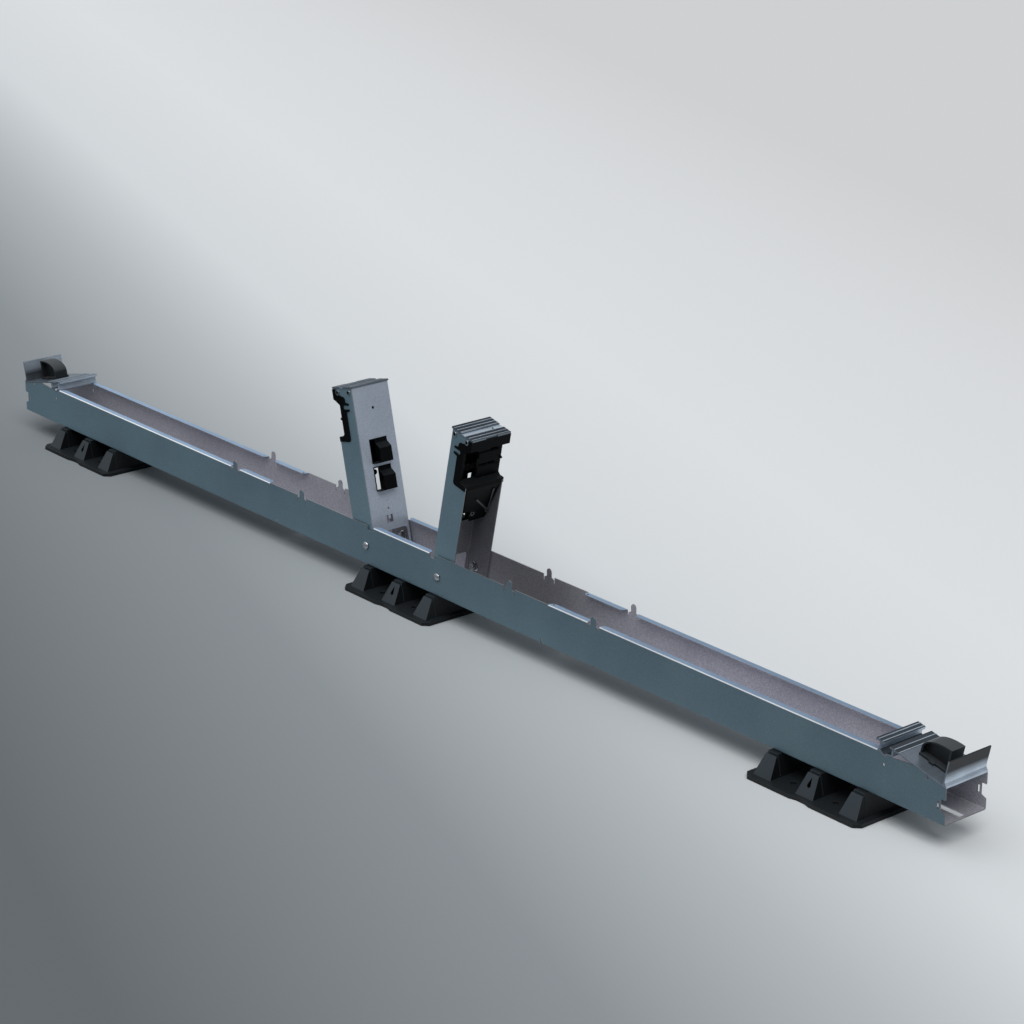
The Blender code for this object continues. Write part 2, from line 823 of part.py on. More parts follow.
def screwShape():
    # Head up: the seat of the head is at Z 0.
    edge = screwHeadHeight / 3
    return turned([(0, screwHeadHeight), (screwHeadRadius - edge, screwHeadHeight),
                   (screwHeadRadius, screwHeadHeight - edge), (screwHeadRadius, 0), (screwRadius, 0),
                   (screwRadius, -screwLength), (0, -screwLength)], smallSides)


# Clip

def bandOutline():
    # The side band of the clip, with the hook that opens toward the web of the post.
    face = mouthDeep + fitGap + clipSkin
    nose = noseFront + fitGap + clipSkin
    ledgeTop = mouthLow + fitGap + clipSkin
    top = postTop - fitGap
    line = parallel(mouthLine(), -fitGap - clipSkin)
    ring = screwHeadRadius + 2 * fitGap
    front = [(line[0][0], line[0][1]), (line[1][0], line[1][1]), (line[2][0], line[2][1]),
             (face, clipBumpRise - clipBumpHalf), (face + clipBump, clipBumpRise - clipBumpHalf / 3),
             (face + clipBump, clipBumpRise + clipBumpHalf / 3), (face, clipBumpRise + clipBumpHalf),
             (line[3][0], line[3][1]), (line[4][0], line[4][1]), (nose, line[5][1]), (nose, top)]
    around = [(screwFront + ring, top)] + arc((screwFront, screwRise), ring, 0, -ringSweep, 2 * bendSteps)
    shoulder = [(clipBandBack + 2 * bandShoulder, bandTop), (clipBandBack + bandShoulder, bandTop),
                (clipBandBack, bandTop - bandShoulder)]
    gap = hookBore - hookFinger / 4
    hook = [(clipBandBack, hookRise + hookOuter), (-hookTip, hookRise + gap + hookFinger),
            (-hookTip, hookRise + gap)]
    hook += arc((hookX, hookRise), hookBore, hookSweep / 2, -hookSweep / 2, 3 * bendSteps)
    hook += [(-hookTip, hookRise - gap), (-hookTip, hookRise - gap - hookFinger),
             (clipBandBack, hookRise - hookOuter)]
    foot = rounded([(clipBandBack, hookRise - hookOuter), (clipBandBack, clipBandFoot, clipCorner),
                    (postFront, clipBandFoot)])
    return front + around + shoulder + hook[:-1] + foot


def frontShape():
    # The folded skin that lines the mouth and the nose across the full width, with its steps and windows.
    line = mouthLine()
    line[-1] = (noseFront, postTop - fitGap)
    skin = parallel(line, -fitGap - clipSkin) + list(reversed(parallel(line, -fitGap)))
    front = slab([skin], "xz", -clipOutside, clipOutside)
    face = mouthDeep + fitGap + clipSkin
    inner = mouthDeep - overrun
    steps = []
    root = face - clipSkin / 2
    crest = face + stepRise
    for foot, rise in ((upperStepRise - upperStepHeight, upperStepRise), (mouthLow + clipSkin, lowerStepRise)):
        steps.append([(root, foot), (crest, foot), (crest, rise - stepChamfer),
                      (crest - stepChamfer, rise), (root, rise)])
    front = joined(front, slab(steps, "xz", clipWall - pocketStart, pocketEnd))
    pocket = box(-pocketEnd, -pocketStart, pocketLow, mouthHigh)
    upperSill = upperStepRise + clipWall / 2
    lowerSill = lowerStepRise + clipWall / 2
    windows = [pocket, box(upperWindowStart, upperWindowEnd, upperSill, upperSill + windowHeight),
               box(2 * clipWall - pocketStart, lowerWindowEnd, lowerSill, lowerSill + windowHeight)]
    return cut(front, slab(windows, "yz", inner, face + 2 * overrun))


def hoodShapes(rise):
    # A hood that passes through the web: its body, its hollow, the window beside the closed part
    # and the cut that ends the closed part at the window.
    root = backplateFace + clipWall / 2
    skin = -postBack - fitGap
    beak = -postBack - hoodReach
    top = rise + hoodHeight
    slopeTop = top - hoodCap
    slopeFoot = slopeTop - hoodSlope
    outer = [(root, top), (skin, top), (skin - fitGap, slopeTop), (beak, slopeFoot),
             (beak, rise), (root, rise)]
    wall = clipWall
    inner = [(root + overrun, top - wall), (skin + wall, top - wall), (skin + wall, slopeTop - wall / 2),
             (beak + wall, slopeFoot - wall / 2), (beak + wall, rise + wall), (root + overrun, rise + wall)]
    body = slab([outer], "xz", -hoodHalf, hoodHalf)
    hollow = slab([inner], "xz", wall - hoodHalf, hoodClosed - wall)
    opening = box(beak - overrun, root + overrun, rise + wall, top - wall)
    window = slab([opening], "xz", hoodClosed, hoodHalf - wall)
    beyond = box(beak - overrun, skin, rise + wall, top + overrun)
    return body, hollow, window, slab([beyond], "xz", hoodClosed, hoodHalf + overrun)


def clipShape():
    skinHalf = clipSkin / 2
    bandOuter = clipOutside
    bandInner = clipOutside - clipBand
    clip = frontShape()
    band = bandOutline()
    clip = joined(clip, slab([band], "xz", bandInner, bandOuter), slab([band], "xz", -bandOuter, -bandInner))
    lipRoot = postFront - clipSkin
    ledge = box(lipRoot, postFront, clipBandFoot, mouthLow + fitGap + skinHalf)
    apronLine = [(postFront - skinHalf, clipBandFoot + skinHalf), (apronFootDepth, apronFoot)]
    innerSide = list(reversed(parallel(apronLine, -skinHalf)))
    apronTop = clipBandFoot + clipSkin + skinHalf
    taper = [(-apronTopHalf, apronTop), (-apronStepAside, apronStepRise), (-apronHeel, apronStepRise),
             (apronHeel, apronFoot), (apronToe, apronFoot), (apronTopHalf, apronTop)]
    apronBody = common(slab([parallel(apronLine, skinHalf) + innerSide], "xz", -clipInside, clipInside),
                       slab([taper], "yz", -postBack, postFront + overrun))
    ribs = []
    raised = parallel(apronLine, skinHalf + strutRelief) + list(reversed(apronLine))
    for apex in ((-nearStrutAside, nearStrutRise), (farStrutAside, farStrutRise)):
        line = [apex, (farRingAside, ringRise)]
        strut = parallel(line, strutHalf) + list(reversed(parallel(line, -strutHalf)))
        relief = slab([raised], "xz", -clipInside, clipInside)
        ribs.append(common(relief, slab([strut], "yz", -postBack, postFront + overrun)))
    gusset = [(backplateFace, gussetFoot), (postFront - clipSkin, clipBandFoot + skinHalf),
              (postFront - clipSkin, gussetTop), (backplateFace, gussetTop)]
    innerWall = box(-clipBack, mouthDeep + fitGap + skinHalf, mouthLow + clipSkin, noseLow - clipSkin)
    backWall = box(-clipBack, clipWall - clipBack, clipBackLow, noseLow - clipSkin)
    clip = joined(clip, slab([ledge], "xz", -clipInside, clipInside), apronBody, *ribs,
                  slab([gusset], "xz", backplateHalf - clipWall, backplateHalf),
                  slab([gusset], "xz", -backplateHalf, clipWall - backplateHalf),
                  slab([innerWall], "xz", clipInside - clipWall, clipInside),
                  slab([innerWall], "xz", -clipInside, clipWall - clipInside),
                  slab([backWall], "xz", -clipInside, clipInside))
    low = lowerHoodRise - backplateMargin
    high = upperHoodRise + hoodHeight + backplateMargin
    plate = box(-backplateHalf, backplateHalf, low, high)
    clip = joined(clip, slab([plate], "yz", backplateFace, backplateFace + clipWall))
    hoods = [hoodShapes(rise) for rise in (upperHoodRise, lowerHoodRise)]
    for shapes in hoods:
        clip = joined(clip, shapes[0])
    for shapes in hoods:
        clip = cut(clip, *shapes[1:])
    asides = (nearRingAside, farRingAside)
    rings = [circle((aside, ringRise), ringRadius, holeSides) for aside in asides]
    bores = [circle((aside, ringRise), ringBore, smallSides) for aside in asides]
    clip = joined(clip, slab(rings, "yz", ringBack, ringReach))
    return cut(clip, slab(bores, "yz", ringBack - overrun, ringReach + overrun))


# Pivot fasteners: axis along Z, with the seat of the bolt head at Z 0

def boltShape():
    reach = traySheet + (trayInside - postHalfWidth) + postSheet + 3 * fitGap + nutHeight + boltTail
    dome = []
    for step in range(bendSteps + 1):
        angle = math.radians(90 - 90 * step / bendSteps)
        dome.append((boltHeadRadius * math.cos(angle), boltHeadHeight * (1 + 3 * math.sin(angle)) / 4))
    return turned(dome + [(boltHeadRadius, 0), (boltRadius, 0), (boltRadius, -reach), (0, -reach)], holeSides)


def nutShape():
    # The flange seats at Z 0 and the hexagon stands below it.
    bore = circle((0, 0), boltRadius + fitGap)
    flats = circle((0, 0), nutHalfFlats / math.cos(math.pi / 6), 6)
    nut = slab([flats, bore], "xy", -nutHeight, -nutFlangeHeight / 2)
    return joined(nut, slab([circle((0, 0), nutFlangeRadius), bore], "xy", -nutFlangeHeight, 0))


# Assembly

def clearScene():
    for item in list(bpy.data.objects):
        bpy.data.objects.remove(item, do_unlink=True)


def addCollection(name):
    collection = bpy.data.collections.new(name)
    bpy.context.scene.collection.children.link(collection)
    return collection


def buildTray(galvanised, plastic):
    place("ballast_tray", trayShape(), galvanised, (0, 0, trayBase))
    foot = footShape()
    for name, x in (("left", -footSpacing), ("centre", 0), ("right", footSpacing)):
        place("foot_" + name, foot, plastic, (x, 0, 0))


def buildBrackets(aluminium, plastic):
    bracket = bracketShape()
    block = blockShape()
    originX, originZ = bracketOrigin()
    for name, side, turn in (("left", -1, math.pi), ("right", 1, 0)):
        holder = frame("edge_frame_" + name, (side * originX, 0, trayBase + originZ), turn)
        place("edge_bracket_" + name, bracket, aluminium, parent=holder)
        place("edge_block_" + name, block, plastic, (0, -side * blockAside, 0), parent=holder)


def buildPosts(galvanised, aluminium, plastic, steel):
    post = postShape()
    head = headShape()
    clip = clipShape()
    screw = screwShape()
    seat = postHalfWidth + fitGap
    for name, side, turn in (("left", -1, math.pi), ("right", 1, 0)):
        pivot = frame("post_pivot_" + name, (side * pivotX, 0, trayBase + pivotRise), turn)
        place("post_" + name, post, galvanised, parent=pivot)
        place("head_" + name, head, aluminium, parent=pivot)
        place("clip_" + name, clip, plastic, parent=pivot)
        for spot, x in (("outer", screwFront), ("inner", -screwBack)):
            for letter, facing in (("a", 1), ("b", -1)):
                title = "screw_" + name + "_" + spot + "_" + letter
                rotation = (-facing * math.pi / 2, 0, 0)
                place(title, screw, steel, (x, facing * seat, screwRise), rotation, pivot)


def buildPivots(steel):
    bolt = boltShape()
    nut = nutShape()
    boltSeat = trayHalfWidth + fitGap
    nutSeat = postInside - fitGap
    for name, side in (("left", -1), ("right", 1)):
        for edge, facing in (("near", -1), ("far", 1)):
            spot = (side * pivotX, facing * boltSeat, trayBase + pivotRise)
            place("pivot_bolt_" + name + "_" + edge, bolt, steel, spot, (-facing * math.pi / 2, 0, 0))
            spot = (side * pivotX, facing * nutSeat, trayBase + pivotRise)
            place("pivot_nut_" + name + "_" + edge, nut, steel, spot, (-facing * math.pi / 2, 0, 0))


clearScene()
partCollection = addCollection("solar_ballast_mount")
cutterCollection = addCollection("cutters")
galvanisedSteel = material("galvanised_steel", (0.13, 0.19, 0.23), 0.42, 0.85)
blackPlastic = material("black_plastic", (0.012, 0.014, 0.016), 0.45, 0.0)
millAluminium = material("mill_aluminium", (0.30, 0.38, 0.46), 0.35, 0.9)
zincSteel = material("zinc_steel", (0.42, 0.44, 0.46), 0.3, 1.0)
buildTray(galvanisedSteel, blackPlastic)
buildBrackets(millAluminium, blackPlastic)
buildPosts(galvanisedSteel, millAluminium, blackPlastic, zincSteel)
buildPivots(zincSteel)
bpy.context.view_layer.update()
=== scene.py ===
# Solar ballast mount: the finish of every surface, the fasteners in full, the photograph's view.
import json
import math

import bmesh
import bpy
from mathutils import Matrix, Vector

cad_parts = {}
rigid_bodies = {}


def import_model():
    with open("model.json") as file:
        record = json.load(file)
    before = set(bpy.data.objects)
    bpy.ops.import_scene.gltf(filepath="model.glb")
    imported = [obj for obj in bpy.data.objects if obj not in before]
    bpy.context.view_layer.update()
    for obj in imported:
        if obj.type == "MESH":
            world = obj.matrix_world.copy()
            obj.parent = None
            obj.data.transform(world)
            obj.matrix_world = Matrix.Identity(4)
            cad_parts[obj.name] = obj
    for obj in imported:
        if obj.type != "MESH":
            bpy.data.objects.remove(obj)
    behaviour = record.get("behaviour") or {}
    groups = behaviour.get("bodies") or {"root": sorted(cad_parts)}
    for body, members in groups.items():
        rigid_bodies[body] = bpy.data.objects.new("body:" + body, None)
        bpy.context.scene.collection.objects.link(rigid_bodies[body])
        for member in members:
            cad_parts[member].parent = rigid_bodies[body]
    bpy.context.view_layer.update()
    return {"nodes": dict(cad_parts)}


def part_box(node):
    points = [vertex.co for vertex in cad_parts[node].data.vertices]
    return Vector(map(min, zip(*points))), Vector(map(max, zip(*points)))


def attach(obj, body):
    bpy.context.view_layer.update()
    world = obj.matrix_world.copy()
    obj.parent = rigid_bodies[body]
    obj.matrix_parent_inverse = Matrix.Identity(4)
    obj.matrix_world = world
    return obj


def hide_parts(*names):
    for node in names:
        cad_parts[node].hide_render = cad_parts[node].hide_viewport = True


for leftover in list(bpy.data.objects):
    bpy.data.objects.remove(leftover, do_unlink=True)
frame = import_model()
cadNodes = frame["nodes"]
print("frame loaded:", len(cadNodes), "nodes")


# Material helpers

def newSurface(name):
    surface = bpy.data.materials.new(name)
    surface.use_nodes = True
    tree = surface.node_tree
    return surface, tree, tree.nodes["Principled BSDF"]


def addNode(tree, kind, sockets=None, **settings):
    # A socket is named with a fixed value, or with another node's output to link.
    made = tree.nodes.new("ShaderNode" + kind)
    for key, value in settings.items():
        setattr(made, key, value)
    for key, value in (sockets or {}).items():
        if isinstance(value, bpy.types.NodeSocket):
            tree.links.new(value, made.inputs[key])
        else:
            made.inputs[key].default_value = value
    return made


mixSockets = {"FLOAT": (2, 3, 0), "RGBA": (6, 7, 2)}  # a mix's two inputs and its output, by kind


def mixed(tree, kind, share, first, second, blend="MIX"):
    firstInput, secondInput, output = mixSockets[kind]
    sockets = {0: share, firstInput: first, secondInput: second}
    return addNode(tree, "Mix", sockets, data_type=kind, blend_type=blend).outputs[output]


def fade(tree, amount, stops):
    # A colour ramp from (position, colour) stops.
    ramp = addNode(tree, "ValToRGB", {"Fac": amount})
    keys = ramp.color_ramp.elements
    while len(keys) < len(stops):
        keys.new(0.5)
    for key, (position, colour) in zip(keys, stops):
        key.position = position
        key.color = (*colour, 1)
    return ramp.outputs["Color"]


def tinted(colour, factor):
    return tuple(min(channel * factor, 1) for channel in colour)


def noise(tree, place, sockets):
    return addNode(tree, "TexNoise", {"Vector": place, **sockets}).outputs["Fac"]


def scaled(tree, amount, low, high):
    # A 0 to 1 output spread over low to high.
    sockets = {"Value": amount, "To Min": low, "To Max": high}
    return addNode(tree, "MapRange", sockets).outputs["Result"]


def shareOf(tree, amount, start, finish):
    # An output that runs from start to finish brought to 0 to 1.
    sockets = {"Value": amount, "From Min": start, "From Max": finish}
    return addNode(tree, "MapRange", sockets).outputs["Result"]


def paintShadeAlong(tree, colour, place, axis, stops):
    # Painted light and shade: a colour made lighter or darker along an axis, from (place, tone)
    # stops.
    start, finish = stops[0][0], stops[-1][0]
    along = addNode(tree, "SeparateXYZ", {"Vector": place}).outputs[axis]
    share = shareOf(tree, along, start, finish)
    greys = [((spot - start) / (finish - start), (tone, tone, tone)) for spot, tone in stops]
    return mixed(tree, "RGBA", 1.0, colour, fade(tree, share, greys), "MULTIPLY")


def joinShader(tree, shader, colour, roughness, relief, bump):
    # The relief's bump is given as its strength and its distance.
    strength, distance = bump
    raised = addNode(tree, "Bump", {"Strength": strength, "Distance": distance, "Height": relief})
    tree.links.new(colour, shader.inputs["Base Color"])
    tree.links.new(roughness, shader.inputs["Roughness"])
    tree.links.new(raised.outputs["Normal"], shader.inputs["Normal"])


# Galvanised sheet: small crystals and grain, with cloudy patches where the zinc lies thicker; each
# coat below is a lit, shaded or reflecting copy of the one zinc, with painted light and shade along
# the tray

galvanised = {
    # side and flange: the zinc's grey with a painted bluish reflection, for the outside faces
    "side": {"colour": (0.152, 0.236, 0.285), "speckle": 0.10},
    "flange": {"colour": (0.195, 0.300, 0.360), "speckle": 0.10},
    # inside: the zinc made lighter and warmer, painted light for the light bounced inside the tray
    "inside": {"colour": (0.700, 0.695, 0.755), "speckle": 0.22},
    # post: painted shade inside the posts' channels
    "post": {"colour": (0.290, 0.290, 0.315), "speckle": 0.24},
    # web: painted light on the posts' webs, lit from the right
    "web": {"colour": (0.460, 0.515, 0.600), "speckle": 0.12},
    # fold: a painted highlight along the folds inside the tray
    "fold": {"colour": (1.000, 1.000, 1.000), "speckle": 0.12},
    # lip: a painted light-blue sky reflection on the lips' upper faces
    "lip": {"colour": (0.300, 0.430, 0.600), "speckle": 0.10},
    # bend: a painted highlight line along the lips' bends
    "bend": {"colour": (0.960, 0.980, 1.000), "speckle": 0.06},
    "edge": {"colour": (0.260, 0.255, 0.260), "speckle": 0.15},
    # painted shade along the tray: lighter at the left end, darker at the right
    "outerPaintedShade": [(-1.2, 1.25), (1.2, 0.72)],
    # painted shadow of the right post on the tray's inner wall, with painted light beyond it
    "innerPaintedShade": [(-1.2, 0.78), (-0.3, 0.80), (0.10, 0.74), (0.20, 0.40), (0.28, 0.38),
                   (0.45, 0.82), (0.70, 0.97), (1.0, 0.88), (1.2, 0.74)],
    "metallic": 0.45,
    "roughness": (0.32, 0.50),
    "bump": (0.12, 0.0004),
    "crystalScale": 700,
    "crystalShare": 0.45,
    "speckleStops": (0.25, 0.5, 0.75),
    "grain": {"Scale": 1500, "Detail": 4, "Roughness": 0.65},
    "patches": {"Scale": 9, "Detail": 3},
    "cloud": [(0.35, (0.88, 0.88, 0.90)), (0.65, (1.0, 1.0, 1.0))],
}


def galvanisedSurface(name, look, tones="outerPaintedShade"):
    surface, tree, shader = newSurface(name)
    colour, speckle = galvanised[look]["colour"], galvanised[look]["speckle"]
    place = addNode(tree, "TexCoord").outputs["Object"]
    crystals = addNode(tree, "TexVoronoi", {"Vector": place, "Scale": galvanised["crystalScale"]})
    grain = noise(tree, place, galvanised["grain"])
    patches = noise(tree, place, galvanised["patches"])
    split = addNode(tree, "SeparateColor", {"Color": crystals.outputs["Color"]})
    tone = mixed(tree, "FLOAT", galvanised["crystalShare"], grain, split.outputs["Red"])
    speckles = (tinted(colour, 1 - speckle), colour, tinted(colour, 1 + speckle))
    fine = fade(tree, tone, list(zip(galvanised["speckleStops"], speckles)))
    cloudy = mixed(tree, "RGBA", 1.0, fine, fade(tree, patches, galvanised["cloud"]), "MULTIPLY")
    # Painted light and shade along X, from the stops named by tones.
    shaded = paintShadeAlong(tree, cloudy, place, "X", galvanised[tones])
    roughness = scaled(tree, tone, *galvanised["roughness"])
    joinShader(tree, shader, shaded, roughness, tone, galvanised["bump"])
    shader.inputs["Metallic"].default_value = galvanised["metallic"]
    return surface


# Extruded aluminium: die lines along the extrusion, which runs across the tray; lighter and darker
# copies give painted highlights on crests and painted shade in grooves and on the upright

aluminium = {
    "body": (0.205, 0.245, 0.295),
    # crest: a painted highlight colour, for rib crests, the rail's web and the upright
    "crest": (0.600, 0.700, 0.810),
    # groove: painted shade in the grooves of the ribbed tops
    "groove": (0.050, 0.065, 0.082),
    # painted shade on the upright's outside: full tone low down, nearly black higher up
    "outerPaintedShade": [(0.107, 1.0), (0.121, 0.03)],
    # painted shade at the foot of the upright's inside
    "innerPaintedShade": [(0.104, 0.25), (0.114, 0.16), (0.124, 0.9), (0.134, 1.0)],
    "shade": 0.5,
    "shadeStops": (0.3, 0.62),
    "metallic": 0.60,
    "roughness": (0.24, 0.40),
    "bump": (0.15, 0.0003),
    "lineStretch": (900, 6, 900),
    "lines": {"Scale": 1.0, "Detail": 5, "Roughness": 0.7},
    "stains": {"Scale": 28, "Detail": 4},
    "stainShare": 0.35,
}


def aluminiumSurface(name, look, tones=None):
    surface, tree, shader = newSurface(name)
    place = addNode(tree, "TexCoord").outputs["Object"]
    stretched = addNode(tree, "Mapping", {"Vector": place, "Scale": aluminium["lineStretch"]})
    lines = noise(tree, stretched.outputs["Vector"], aluminium["lines"])
    stains = noise(tree, place, aluminium["stains"])
    tone = mixed(tree, "FLOAT", aluminium["stainShare"], lines, stains)
    shades = (tinted(aluminium[look], aluminium["shade"]), aluminium[look])
    colour = fade(tree, tone, list(zip(aluminium["shadeStops"], shades)))
    if tones:
        # Painted shade along Z, from the stops named by tones.
        colour = paintShadeAlong(tree, colour, place, "Z", aluminium[tones])
    roughness = scaled(tree, tone, *aluminium["roughness"])
    joinShader(tree, shader, colour, roughness, lines, aluminium["bump"])
    shader.inputs["Metallic"].default_value = aluminium["metallic"]
    return surface


# Moulded plastic: fine eroded grain, with a painted sky reflection on what faces up

plastic = {
    "clip": {"colour": (0.0020, 0.0023, 0.0027), "skySheen": (0.0110, 0.0130, 0.0150), "gloss": 0.05},
    # paintedRim: a painted highlight, lighter and glossier, on softened edges and strut crests
    "paintedRim": {"colour": (0.0420, 0.0460, 0.0500), "skySheen": (0.0420, 0.0460, 0.0500), "gloss": 0.40},
    "block": {"colour": (0.0110, 0.0130, 0.0148), "skySheen": (0.0360, 0.0410, 0.0460), "gloss": 0.40},
    # noseReflection: a painted reflection on the ridges' sloping noses
    "noseReflection": {"colour": (0.0210, 0.0300, 0.0370), "skySheen": (0.0210, 0.0300, 0.0370), "gloss": 0.40},
    "foot": {"colour": (0.0045, 0.0055, 0.0065), "skySheen": (0.0120, 0.0145, 0.0165), "gloss": 0.28},
    "patchTones": [(0.35, 0.85), (0.7, 1.3)],
    "skySheenTurn": (0.15, 0.95),  # how far a face looks up where the painted sky reflection begins, and where it is full
    "roughness": (0.30, 0.46),
    "bump": (0.10, 0.0003),
    "grain": {"Scale": 1500, "Detail": 3},
    "patches": {"Scale": 16, "Detail": 4},
}


def plasticSurface(name, look):
    surface, tree, shader = newSurface(name)
    colour, skySheen = plastic[look]["colour"], plastic[look]["skySheen"]
    shader.inputs["Specular IOR Level"].default_value = plastic[look]["gloss"]
    coordinates = addNode(tree, "TexCoord")
    place = coordinates.outputs["Object"]
    grain = noise(tree, place, plastic["grain"])
    patches = noise(tree, place, plastic["patches"])
    tones = [(stop, tinted(colour, factor)) for stop, factor in plastic["patchTones"]]
    tone = fade(tree, patches, tones)
    # Painted sky reflection: lighter where a face looks up.
    upward = addNode(tree, "SeparateXYZ", {"Vector": coordinates.outputs["Normal"]}).outputs["Z"]
    facingUpShare = shareOf(tree, upward, *plastic["skySheenTurn"])
    sheened = mixed(tree, "RGBA", facingUpShare, tone, (*skySheen, 1))
    roughness = scaled(tree, patches, *plastic["roughness"])
    joinShader(tree, shader, sheened, roughness, grain, plastic["bump"])
    return surface


# Zinc-plated fasteners: bright, with a faint stain, and painted shade in the screw recesses

zinc = {
    "bolt": (0.600, 0.620, 0.640),
    "screw": (0.460, 0.490, 0.530),
    # recess: painted shade, nearly black, in the screws' recesses
    "recess": (0.020, 0.022, 0.025),
    "shade": 0.55,
    "shadeStops": (0.3, 0.6),
    "metallic": 1.0,
    "roughness": (0.06, 0.16),
    "bump": (0.1, 0.0002),
    "stains": {"Scale": 240, "Detail": 4},
}


def zincSurface(name, look):
    surface, tree, shader = newSurface(name)
    place = addNode(tree, "TexCoord").outputs["Object"]
    stains = noise(tree, place, zinc["stains"])
    shades = (tinted(zinc[look], zinc["shade"]), zinc[look])
    colour = fade(tree, stains, list(zip(zinc["shadeStops"], shades)))
    roughness = scaled(tree, stains, *zinc["roughness"])
    joinShader(tree, shader, colour, roughness, stains, zinc["bump"])
    shader.inputs["Metallic"].default_value = zinc["metallic"]
    return surface


sideReflectionCoat = galvanisedSurface("galvanisedSidePaintedReflection", "side")
flangeReflectionCoat = galvanisedSurface("galvanisedFlangePaintedReflection", "flange")
insideLitCoat = galvanisedSurface("galvanisedInsidePaintedLight", "inside", "innerPaintedShade")
postShadeCoat = galvanisedSurface("galvanisedPostInsidePaintedShade", "post")
webLitCoat = galvanisedSurface("galvanisedWebPaintedLight", "web")
foldHighlightCoat = galvanisedSurface("galvanisedFoldPaintedHighlight", "fold")
lipReflectionCoat = galvanisedSurface("galvanisedLipPaintedReflection", "lip")
bendHighlightCoat = galvanisedSurface("galvanisedBendPaintedHighlight", "bend")
sheetEdge = galvanisedSurface("cutEdge", "edge")
trayCoats = [sideReflectionCoat, insideLitCoat, lipReflectionCoat, bendHighlightCoat, sheetEdge, foldHighlightCoat]
postCoats = [flangeReflectionCoat, postShadeCoat, webLitCoat, sheetEdge]
extrusionCoats = [aluminiumSurface("extrudedBody", "body"),
                  aluminiumSurface("extrudedCrestPaintedHighlight", "crest"),
                  aluminiumSurface("extrudedGroovePaintedShade", "groove"),
                  aluminiumSurface("uprightOutsidePaintedShade", "crest", "outerPaintedShade"),
                  aluminiumSurface("uprightInsidePaintedShade", "crest", "innerPaintedShade")]
clipPlastic = plasticSurface("clipPlastic", "clip")
paintedRimPlastic = plasticSurface("paintedRimPlastic", "paintedRim")
blockPlastic = plasticSurface("blockPlastic", "block")
noseReflectionPlastic = plasticSurface("noseReflectionPlastic", "noseReflection")
footPlastic = plasticSurface("footPlastic", "foot")
clipCoats = [clipPlastic, paintedRimPlastic]
blockCoats = [blockPlastic, paintedRimPlastic]
footCoats = [footPlastic, noseReflectionPlastic]
boltZinc = zincSurface("boltZinc", "bolt")
screwZinc = zincSurface("screwZinc", "screw")
recessShadeZinc = zincSurface("screwRecessPaintedShade", "recess")
print("materials made")


# CAD pieces: softened edges, and on each face its finish, with the painted light, shade and
# reflections chosen face by face

softEdges = {
    "weld": 0.00002,
    "angle": math.radians(28),
    "segments": 2,
    "sheet": 0.00025,
    "moulded": 0.00045,
    "extruded": 0.00020,
}


def soften(node, width):
    piece = cadNodes[node]
    piece.data.shade_smooth()
    weld = piece.modifiers.new("weld", "WELD")
    weld.merge_threshold = softEdges["weld"]
    bevel = piece.modifiers.new("soften", "BEVEL")
    bevel.width = width
    bevel.segments = softEdges["segments"]
    bevel.limit_method = "ANGLE"
    bevel.angle_limit = softEdges["angle"]
    bevel.use_clamp_overlap = True
    normals = piece.modifiers.new("normals", "WEIGHTED_NORMAL")
    normals.keep_sharp = True
    return piece


def finishNode(node, surfaces, width, choose=None, rim=-1):
    # The rim is the surface of the softened edges, where they have one of their own; on the clips
    # and blocks it is a painted highlight, and on the feet the noses' painted reflection.
    piece = soften(node, width)
    piece.modifiers["soften"].material = rim
    piece.data.materials.clear()
    for surface in surfaces:
        piece.data.materials.append(surface)
    for face in piece.data.polygons:
        face.material_index = choose(face.center, face.normal) if choose else 0


# The rules below look at a face's centre and at the share of its normal along an axis.

trayFaces = {
    "inner": 0.0405,  # from the middle line, within the wall's thickness
    "outer": 0.0412,
    "lipHeight": 0.1075,
    "lipTop": 0.1101,
    "lipFlat": 0.9,
    "bendInset": 0.001,
    "bendTurn": (0.2, 0.97),
    "foldHeight": 0.0428,
    "foldTurn": 0.2,
    "endTurn": 0.7,
    "edgeTurn": 0.5,
    "outerTurn": 0.3,
    "underTurn": -0.5,
}


def trayFace(centre, normal):
    # 0 outside (painted bluish reflection), 1 inside (lightened with painted light), 2 the lips'
    # upper faces (painted sky reflection), 3 their bends (painted highlight), 4 cut edges, 5 the
    # folds inside (painted highlight).
    rule = trayFaces
    aside = abs(centre.y)
    outward = normal.y * math.copysign(1, centre.y)
    if centre.z < rule["foldHeight"] and min(normal.z, -outward) > rule["foldTurn"]:
        return 5
    if centre.z > rule["lipHeight"] and aside > rule["inner"] - rule["bendInset"]:
        least, most = rule["bendTurn"]
        if least < normal.z < most and outward > least and abs(normal.x) < least:
            return 3
    if centre.z > rule["lipTop"] and normal.z > rule["lipFlat"] and aside < rule["outer"]:
        return 2
    if abs(normal.x) > rule["endTurn"] or (normal.z > rule["edgeTurn"] and aside > rule["inner"]):
        return 4
    if (aside > rule["outer"] and outward > rule["outerTurn"]) or normal.z < rule["underTurn"]:
        return 0
    return 1


postFaces = {
    "inner": 0.0372,
    "outer": 0.0382,
    "outerTurn": 0.3,
    "edgeTurn": 0.1,
    "webTurn": (0.5, 0.3),  # at least this toward the middle, at most this to a side
}


def postFace(centre, normal):
    # 0 the flanges' outside (painted bluish reflection), 1 inside (painted shade), 2 the web's
    # outside (painted light), 3 cut edges.
    rule = postFaces
    aside = abs(centre.y)
    if aside > rule["outer"] and normal.y * math.copysign(1, centre.y) > rule["outerTurn"]:
        return 0
    if aside > rule["inner"] and abs(normal.y) < rule["edgeTurn"]:
        return 3
    towardMiddle = -normal.x * math.copysign(1, centre.x)
    least, sideways = rule["webTurn"]
    return 2 if towardMiddle > least and abs(normal.y) < sideways else 1


